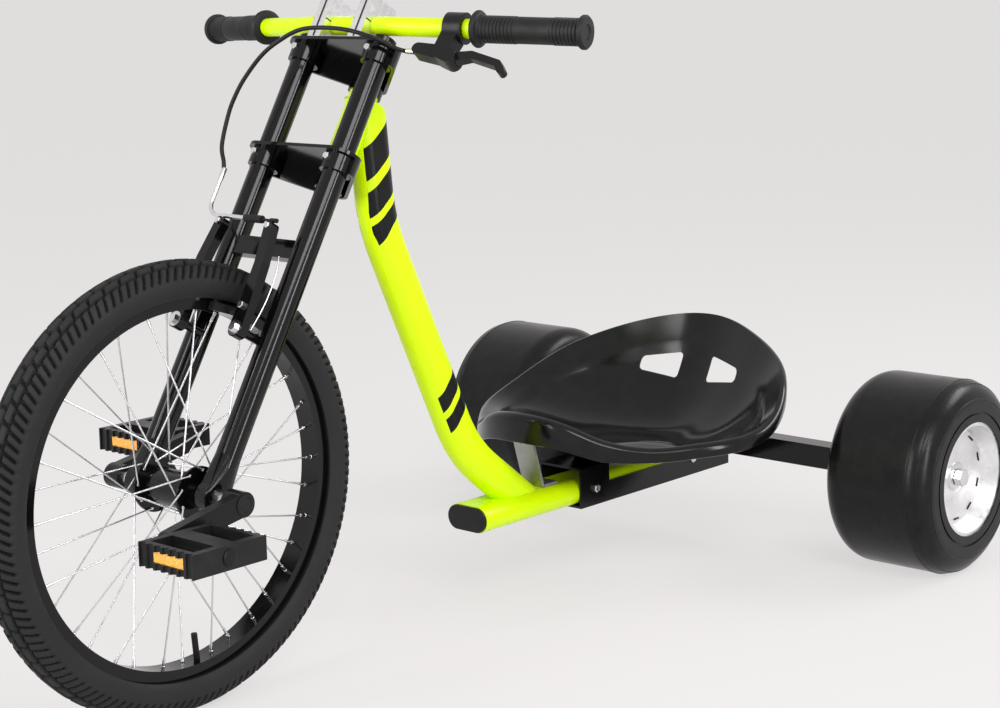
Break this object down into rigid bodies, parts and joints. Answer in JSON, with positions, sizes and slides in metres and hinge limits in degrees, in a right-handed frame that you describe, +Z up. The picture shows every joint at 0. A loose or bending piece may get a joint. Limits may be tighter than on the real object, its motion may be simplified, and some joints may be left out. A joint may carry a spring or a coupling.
{
  "type": "pedal drift trike",
  "caption": "Low pedal drift trike with a spoked crank-driven front wheel, twin-crown fork with rim brake, bucket seat on a flat rail and wide slick rear drums.",
  "frame": {"origin": "on the floor at the middle of the part's length and width", "axes": "+X forward, +Y to the rider's left, +Z up"},
  "size_m": [1.394, 0.846, 0.7849],
  "materials": {
    "lime_paint": "gloss powder coat",
    "black_paint": "gloss powder coat",
    "tyre_rubber": "matte",
    "drum_plastic": "semi-gloss",
    "black_rubber": "matte",
    "black_resin": "satin",
    "black_alloy": "satin",
    "plated_steel": "bright plated",
    "bright_alloy": "polished",
    "bare_steel": "plain",
    "seat_plastic": "gloss moulded",
    "amber_lens": "prismatic"
  },
  "bodies": {
    "frame": {"head_tube": "lime_paint", "headset_cups": "black_paint", "main_tube": "lime_paint", "lower_rail": "lime_paint", "rail_plug": "black_resin", "rear_cradle": "black_paint", "axle_beam": "black_paint", "axle_stubs": "plated_steel", "seat_strap": "bare_steel", "seat_shell": "seat_plastic"},
    "steering": {"fork_leg_left": "black_paint", "fork_leg_right": "black_paint", "upper_crown": "black_paint", "lower_crown": "black_paint", "steerer": "plated_steel", "handlebar": "lime_paint", "grip_left": "black_rubber", "grip_right": "black_rubber", "stem_clamps": "bright_alloy", "brake_lever_body": "black_alloy", "brake_lever_blade": "black_alloy", "brake_bridge": "black_paint", "brake_arm_left": "black_paint", "brake_arm_right": "black_paint", "brake_pads": "black_rubber", "brake_noodle": "plated_steel", "brake_boot": "black_rubber", "brake_cable": "black_rubber"},
    "front_wheel": {"front_tyre": "tyre_rubber", "front_rim": "black_paint", "front_spokes": "plated_steel", "front_hub": "black_paint", "tyre_valve": "black_rubber"},
    "crank": {"crank_spindle": "plated_steel", "crank_arm_left": "black_alloy", "crank_arm_right": "black_alloy"},
    "pedal_left": {"pedal_left": "black_resin", "pedal_reflectors_left": "amber_lens"},
    "pedal_right": {"pedal_right": "black_resin", "pedal_reflectors_right": "amber_lens"},
    "rear_wheel_left": {"rear_tyre_left": "drum_plastic", "rear_disc_left": "plated_steel"},
    "rear_wheel_right": {"rear_tyre_right": "drum_plastic", "rear_disc_right": "plated_steel"}
  },
  "joints": [
    {"name": "steer", "type": "hinge", "parent": "frame", "child": "steering", "pos_m": [0.15893, 0, 0.63226], "axis": [-0.506, 0, 0.8625], "range_deg": [-50, 50]},
    {"name": "front_wheel_spin", "type": "hinge", "parent": "steering", "child": "front_wheel", "pos_m": [0.443, 0, 0.254], "axis": [0, 1, 0], "continuous": true},
    {"name": "crank_spin", "type": "hinge", "parent": "steering", "child": "crank", "pos_m": [0.443, 0, 0.254], "axis": [0, 1, 0], "continuous": true},
    {"name": "pedal_left_spin", "type": "hinge", "parent": "crank", "child": "pedal_left", "pos_m": [0.54313, 0.16, 0.23454], "axis": [0, 1, 0], "continuous": true},
    {"name": "pedal_right_spin", "type": "hinge", "parent": "crank", "child": "pedal_right", "pos_m": [0.34287, -0.16, 0.27346], "axis": [0, 1, 0], "continuous": true},
    {"name": "rear_left_spin", "type": "hinge", "parent": "frame", "child": "rear_wheel_left", "pos_m": [-0.565, 0.344, 0.132], "axis": [0, 1, 0], "continuous": true},
    {"name": "rear_right_spin", "type": "hinge", "parent": "frame", "child": "rear_wheel_right", "pos_m": [-0.565, -0.344, 0.132], "axis": [0, 1, 0], "continuous": true}
  ]
}
